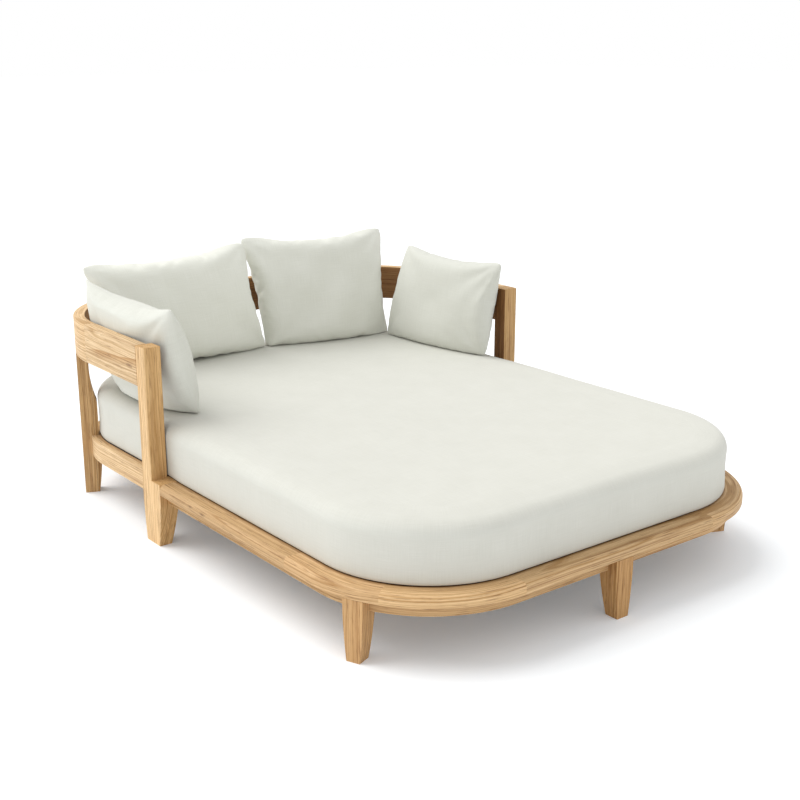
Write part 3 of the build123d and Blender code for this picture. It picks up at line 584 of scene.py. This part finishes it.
def ripple(points, seed, waves, length, lean=(1, 1, 1)):
    """Low swells: a sum of sines along random directions, one wave length after another."""
    source = np.random.default_rng(seed)
    total = np.zeros(len(points))
    for _ in range(waves):
        direction = source.normal(size=3) * lean
        direction /= np.linalg.norm(direction)
        pace = 2 * np.pi / (length * source.uniform(0.6, 1.6))
        total += np.sin(points @ direction * pace + source.uniform(0, 6.28))
    return total / math.sqrt(waves)


def spread_out(points, heights):
    """Pushes the mattress out over the rail in front of the arm posts: by the spread at the edge
    and in proportion to the reach inside it, from just above the frame upwards, fading in as half
    a cosine along the bed."""
    over_frame = np.clip((heights - recess - rim_gap) / spread_rise, 0, 1)
    in_front = np.clip((spread_from - points[:, 1]) / spread_over, 0, 1)
    push = spread * over_frame * (0.5 - 0.5 * np.cos(np.pi * in_front))
    core = np.clip(points[:, :2], (-corner_x, -corner_y), (corner_x, corner_y))
    return (points[:, :2] - core) / corner_reach * push[:, None]


def new_piece(name, points, faces, material):
    """A smooth mesh object from an array of points and a list of faces, with its material."""
    mesh = bpy.data.meshes.new(name)
    mesh.from_pydata(points.tolist(), [], faces)
    mesh.polygons.foreach_set("use_smooth", np.full(len(mesh.polygons), True))
    mesh.materials.append(material)
    piece = bpy.data.objects.new(name, mesh)
    scene.collection.objects.link(piece)
    return piece


def lay_weave(piece, places):
    """Lays the weave on a piece: the cloth's own flat place at each corner of each face."""
    weave = piece.data.uv_layers.new(name="weave")
    weave.data.foreach_set("uv", places.ravel())


# Plain linen: warp and weft threads over and under each other, with slubs where a thread runs
# thicker, and a faint cloudiness from the yarn.
linen_weave, given, result = new_group(
    "linen_weave", [("Threads", "Vector"), ("Light", "Color"), ("Dim", "Color")],
    [("Color", "Color"), ("Height", "Float")])
threads = given.outputs["Threads"]
ways = add_node(linen_weave, "SeparateXYZ", {"Vector": threads}).outputs
warp, weft = (
    reckon(linen_weave, "COSINE", reckon(linen_weave, "MULTIPLY", way, math.pi / thread_pitch))
    for way in (ways["X"], ways["Y"]))
over = reckon(linen_weave, "MULTIPLY_ADD", reckon(linen_weave, "MULTIPLY", warp, weft), 0.5, 0.5)
slub_x, slub_y = (remap(linen_weave, cloud(linen_weave, threads, stretch), 0.35, 0.70)
                  for stretch in ((14.0, 620.0, 1.0), (620.0, 14.0, 1.0)))
slubs = reckon(linen_weave, "MULTIPLY", reckon(linen_weave, "ADD", slub_x, slub_y), 0.5)
mottle = remap(linen_weave, cloud(linen_weave, threads, (9.0, 9.0, 9.0), 3.0), 0.3, 0.7)
share = 0.0
for part, weight in ((slubs, 0.62), (mottle, 0.22), (over, 0.16)):
    share = reckon(linen_weave, "MULTIPLY_ADD", part, weight, share)
linen_weave.links.new(blend(linen_weave, share, given.outputs["Dim"], given.outputs["Light"]),
                      result.inputs["Color"])
linen_weave.links.new(reckon(linen_weave, "MULTIPLY_ADD", slubs, 0.8, over),
                      result.inputs["Height"])


def linen(name, light, dim, shade_below=None):
    """A linen cover's material, its weave laid by the piece's own map. Below the given level of
    painted shade, if there is one, the cover is painted black: a painted shadow line."""
    material, tree, shader = new_material(name, Roughness=0.92, Specular_IOR_Level=0.15,
                                          Sheen_Weight=0.15, Sheen_Roughness=0.5)
    threads = add_node(tree, "UVMap", uv_map="weave").outputs["UV"]
    cloth = add_node(tree, "Group", {"Threads": threads, "Light": light, "Dim": dim},
                     node_tree=linen_weave)
    color = cloth.outputs["Color"]
    # Painted shade: black below the level.
    if shade_below:
        place = add_node(tree, "TexCoord").outputs["Object"]
        height = add_node(tree, "SeparateXYZ", {"Vector": place}).outputs["Z"]
        below = remap(tree, height, shade_below - 0.0003, shade_below + 0.0003, 1.0, 0.0)
        color = blend(tree, below, color, foot_shade_black)
    tree.links.new(color, shader.inputs["Base Color"])
    bump = add_node(tree, "Bump", {"Height": cloth.outputs["Height"], "Strength": 0.35,
                                   "Distance": thread_depth})
    tree.links.new(bump.outputs["Normal"], shader.inputs["Normal"])
    return material


points, quads, caps, run, up, (first_side, last_side) = mattress_form(outline_steps)
heights = points[:, 2].copy()
dents = np.minimum(ripple(points, 3, 14, 0.55, (1, 1, 0.2)) - 1, 0) * dent_depth
points[:, 2] += dents * np.clip((heights - dent_from) / dent_fade, 0, 1)
outward = points[:, :2] / np.maximum(np.linalg.norm(points[:, :2], axis=1, keepdims=True), 0.05)
up_the_side = np.clip((heights - side_from) / (mattress_height - side_from), 0, 1)
side_dents = ripple(points, 8, 10, 0.34) * side_dent_depth * np.sin(np.pi * up_the_side)
points[:, :2] += outward * side_dents[:, None]
points[:, :2] += spread_out(points, heights)
points[:, 2] = np.maximum(points[:, 2], foot_lift) + deck_level

# The weave lies flat on the top and the underside. On the side it follows the outline, with the
# length run round it along the threads one way and the length up the section the other.
corner_points = np.concatenate([quads.ravel(), caps.ravel()])
flat_places = points[corner_points][:, :2]
quad_points = quads.ravel()
quad_layer, quad_step = np.divmod(np.repeat(np.arange(len(quads)), 4), outline_steps)
point_ring, point_step = np.divmod(quad_points, outline_steps)
closing = (quad_step == outline_steps - 1) & (point_step == 0)
point_step[closing] = outline_steps
around = point_step * (run[1] - run[0])
height_up = up[np.clip(point_ring - first_side, 0, len(up) - 1)]
side_corners = np.flatnonzero((quad_layer >= first_side) & (quad_layer < last_side))
flat_places[side_corners] = np.stack([around, height_up], 1)[side_corners]

mattress_cover = new_piece("mattress_cover", points, quads.tolist() + caps.tolist(),
                           linen("mattress_linen", mattress_light, mattress_dim, foot_shade_level))
lay_weave(mattress_cover, flat_places)
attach(mattress_cover, "root")
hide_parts("mattress")


# The pillows: four loose fibre-filled linen pillows, each two equal panels sewn edge to edge and
# turned, with no piping. Two lean on the back rail and one on each arm. The panels are blown up as
# cloth, set between their four ears, and pressed flat on the mattress, the rail and the posts.

pillow_light, pillow_dim = np.array((0.745, 0.750, 0.690)), np.array((0.645, 0.650, 0.580))
sewing_slack, cell, quick_puff = 1.07, 0.011, 0.08
panel_dome, panel_swell, panel_swell_length, corner_power = 0.010, 0.35, 0.16, 24
filling_pressure, thick_from, thick_frames, thin_frames = 4.0, 0.14, 12, 10
side_bow, top_bow = 0.010, 0.020
lump_length, lump_share, lump_depth = 0.20, 0.05, 0.002
seam_wave, seam_fold, seam_fade, seam_start = 0.055, 0.0013, 0.022, 0.008
drift_turn, drift_length = 1.7, 0.23
ear_fold, ear_fade = 0.0075, 0.06
seat_level = deck_level + mattress_height
rest_level, press_share, press_most = seat_level + 0.0008, 0.01, 0.0003
rail_reach, rail_level, rail_face, post_face = 0.3505, 0.6175, 0.7105, 0.6915
post_from, post_to, ear_overhang, overhang_rise = 0.277, 0.300, 0.06, 0.03


def sewn_panels(wide, tall, cells_wide, cells_tall, seed):
    """Two panels on one even grid that share their outer row of points. The front one bows out
    by a shallow dome, the product of two half cosines with a few swells, and the back one the
    other way. The outline is drawn in at its corners to a superellipse of a high power."""
    across, rise = np.meshgrid(np.linspace(-0.5, 0.5, cells_wide + 1),
                               np.linspace(-0.5, 0.5, cells_tall + 1), indexing="ij")
    dome = (np.cos(across * np.pi) * np.cos(rise * np.pi)).ravel()
    edge = np.maximum(np.abs(across), np.abs(rise)) * 2
    power_sum = np.abs(across * 2) ** corner_power + np.abs(rise * 2) ** corner_power
    rounding = edge / np.maximum(power_sum, 1e-24) ** (1 / corner_power) - 1
    pull = (1 + rounding * edge ** 4).ravel()
    flat = np.stack([across.ravel() * wide * pull, np.zeros(across.size),
                     rise.ravel() * tall * pull], 1)
    uneven = 1 + panel_swell * ripple(flat, seed, 6, panel_swell_length)
    front, back = flat.copy(), flat.copy()
    front[:, 1] = -panel_dome * (dome * uneven)
    back[:, 1] = panel_dome * (dome * uneven[::-1])
    inside = (np.abs(across) < 0.4999) & (np.abs(rise) < 0.4999)
    front_index = np.arange(across.size).reshape(across.shape)
    back_index = front_index.copy()
    back_index[inside] = across.size + np.arange(inside.sum())
    points = np.concatenate([front, back[inside.ravel()]])
    flat_places = np.concatenate([flat, flat[inside.ravel()]])[:, [0, 2]]
    front_faces, back_faces = (
        np.stack([index[:-1, :-1], index[1:, :-1], index[1:, 1:], index[:-1, 1:]], -1)
        for index in (front_index, back_index))
    faces = np.concatenate([front_faces.reshape(-1, 4), back_faces.reshape(-1, 4)[:, ::-1]])
    ears = front_index[[0, -1, 0, -1], [0, 0, -1, -1]]
    return points, faces, flat_places, ears


def filled(points, faces, pressure, frames):
    """Blows the sewn panels up as cloth under pressure, with no weight, and reads them back."""
    mesh = bpy.data.meshes.new("panels")
    mesh.from_pydata(points.tolist(), [], faces.tolist())
    trial = bpy.data.objects.new("panels", mesh)
    scene.collection.objects.link(trial)
    cloth = trial.modifiers.new("filling", "CLOTH").settings
    cloth.quality = 6
    cloth.mass = 0.3
    cloth.tension_stiffness = 15
    cloth.compression_stiffness = 15
    cloth.shear_stiffness = 8
    cloth.bending_stiffness = 0.6
    cloth.air_damping = 2.0
    cloth.use_pressure = True
    cloth.uniform_pressure_force = pressure
    cloth.effector_weights.gravity = 0.0
    for number in range(1, frames + 1):
        scene.frame_set(number)
    shown = trial.evaluated_get(bpy.context.evaluated_depsgraph_get())
    places = np.empty(len(points) * 3)
    shown.data.vertices.foreach_get("co", places)
    bpy.data.objects.remove(trial)
    bpy.data.meshes.remove(mesh)
    scene.frame_set(1)
    return places.reshape(-1, 3)


def gathers(u, v, wide, tall, seed):
    """Small folds at a place in the panel. Along each seam runs a wave, a sine of the place along
    it whose phase wanders, that dies away as exp(-inset / fade). From each ear spreads a fan of
    creases, a cosine of the angle about it, times share x exp(-share), the reach over the fade."""
    source = np.random.default_rng(seed)
    total = np.zeros(len(u))
    for place, inset in ((u, v), (u, tall - v), (v, u), (v, wide - u)):
        inset = np.abs(inset)
        drift = drift_turn * np.sin(2 * np.pi * place / drift_length + source.uniform(0, 6.28))
        wave = np.sin(2 * np.pi * place / seam_wave + drift)
        total += seam_fold * wave * np.exp(-inset / seam_fade) * np.clip(inset / seam_start, 0, 1)
    for ear_u, ear_v in ((0, 0), (wide, 0), (0, tall), (wide, tall)):
        share = np.hypot(u - ear_u, v - ear_v) / ear_fade
        angle = np.arctan2(np.abs(v - ear_v), np.abs(u - ear_u))
        fan = np.cos(angle * source.uniform(8, 12) + source.uniform(0, 6.28))
        total += ear_fold * fan * share * np.exp(-share)
    return total


def spanned(places, ears, tips, thickness, dips, seed):
    """Sets a filled pillow between its four corner tips: its two shares across and up place it on
    the patch that blends the tips, and its depth goes along the patch's normal. The dips are how
    far the lower edge is let down to the mattress and the upper edge sags between the ears."""
    low_left, low_right, high_left, high_right = np.array(tips)
    ears_at = places[ears]
    left_edge, right_edge = ears_at[[0, 2], 0].mean(), ears_at[[1, 3], 0].mean()
    low_edge, high_edge = ears_at[[0, 1], 2].mean(), ears_at[[2, 3], 2].mean()
    s = ((places[:, 0] - left_edge) / (right_edge - left_edge))[:, None]
    t = ((places[:, 2] - low_edge) / (high_edge - low_edge))[:, None]
    depth = places[:, 1:2] * thickness / np.ptp(places[:, 1])
    s, t = (0.5 + (s - 0.5) * (1 + side_bow * 4 * t * (1 - t)),
            0.5 + (t - 0.5) * (1 + top_bow * 4 * s * (1 - s)))
    base = ((1 - t) * ((1 - s) * low_left + s * low_right)
            + t * ((1 - s) * high_left + s * high_right))
    along = (1 - t) * (low_right - low_left) + t * (high_right - high_left)
    rise = (1 - s) * (high_left - low_left) + s * (high_right - low_right)
    normal = np.cross(along, rise)
    normal /= np.linalg.norm(normal, axis=1, keepdims=True)
    lumps = ripple(base, seed, 9, lump_length)[:, None]
    fullness = np.clip(np.abs(depth) / (thickness / 2), 0, 1)
    placed = base - normal * depth * (1 + lump_share * lumps)
    middle = 4 * s * (1 - s)
    placed[:, 2:] -= dips[0] * middle * (1 - t) ** 2
    placed[:, 2:] -= dips[1] * np.maximum(middle, 0) ** 0.6 * np.abs(t) ** 3
    wide, tall = np.linalg.norm(along, axis=1).mean(), np.linalg.norm(rise, axis=1).mean()
    folds = gathers(s[:, 0] * wide, t[:, 0] * tall, wide, tall, seed)[:, None]
    return placed + normal * (lump_depth * lumps * fullness + folds)


def pressed(placed):
    """Flattens a pillow where it meets the mattress, the rail and the arm posts. In plan the rail's
    inner face is all places core + direction x reach, with the core held inside the corners'
    centres. Beside a post the limit is the post's face, and above the rail the ears reach out."""
    z = placed[:, 2]
    z = np.where(z < rest_level, rest_level + (z - rest_level) * press_share, z)
    z = np.maximum(z, rest_level - press_most)
    above = np.clip((z - rail_level) / overhang_rise, 0, 1)
    core = np.clip(placed[:, :2], (-corner_x, -corner_y), (corner_x, corner_y))
    out = placed[:, :2] - core
    reach = np.maximum(np.linalg.norm(out, axis=1), 1e-9)
    held = core + out * (np.minimum(reach, rail_reach + ear_overhang * above) / reach)[:, None]
    beside = np.interp(held[:, 1], [post_from, post_to], [post_face, rail_face])
    limit = beside + (rail_face - beside) * above
    return np.stack([np.clip(held[:, 0], -limit, limit), held[:, 1], z], 1)


def pillow(node, tips, thickness, seed, dips, tone_and_light=1.0):
    """Sews, fills and places one pillow, its linen a little lighter or darker than the others':
    partly its own tone, partly painted light and shade.
    """
    tips = np.array(tips)
    wide = np.linalg.norm(tips[[1, 3]] - tips[[0, 2]], axis=1).mean() * sewing_slack
    tall = np.linalg.norm(tips[[2, 3]] - tips[[0, 1]], axis=1).mean() * sewing_slack
    points, faces, flat_places, ears = sewn_panels(
        wide, tall, round(wide / cell), round(tall / cell), seed)
    frames = thick_frames if thickness > thick_from else thin_frames
    points = filled(points, faces, filling_pressure, frames)
    placed = pressed(spanned(points, ears, tips, thickness, dips, seed + 50))
    cover = linen(node + "_linen", (*pillow_light * tone_and_light, 1.0), (*pillow_dim * tone_and_light, 1.0))
    piece = new_piece(node + "_cover", placed, faces.tolist(), cover)
    lay_weave(piece, flat_places[faces.ravel()])
    smoother = piece.modifiers.new("smoother", "SUBSURF")
    smoother.levels = smoother.render_levels = 1
    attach(piece, "root")
    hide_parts(node)


# The last number for each pillow lightens or darkens its linen: partly its own tone, partly painted
# light and shade.
pillow("pillow_back_left",
       [(-0.485, 0.878, seat_level), (0.055, 0.845, seat_level),
        (-0.616, 0.915, 0.741), (0.002, 0.892, 0.767)], 0.165, 21, (0.034, -0.014), 1.12)
pillow("pillow_back_right",
       [(0.070, 0.855, seat_level), (0.568, 0.766, seat_level),
        (0.025, 0.926, 0.778), (0.615, 0.876, 0.766)], 0.165, 22, (0.034, -0.008), 1.04)
pillow("pillow_arm_left",
       [(-0.566, 0.233, seat_level), (-0.610, 0.700, seat_level),
        (-0.665, 0.204, 0.729), (-0.675, 0.762, 0.737)], 0.130, 23, (0.034, 0.026), 0.97)
pillow("pillow_arm_right",
       [(0.613, 0.238, seat_level), (0.545, 0.729, seat_level),
        (0.668, 0.218, 0.713), (0.655, 0.736, 0.715)], 0.130, 24, (0.034, 0.0), 0.92)
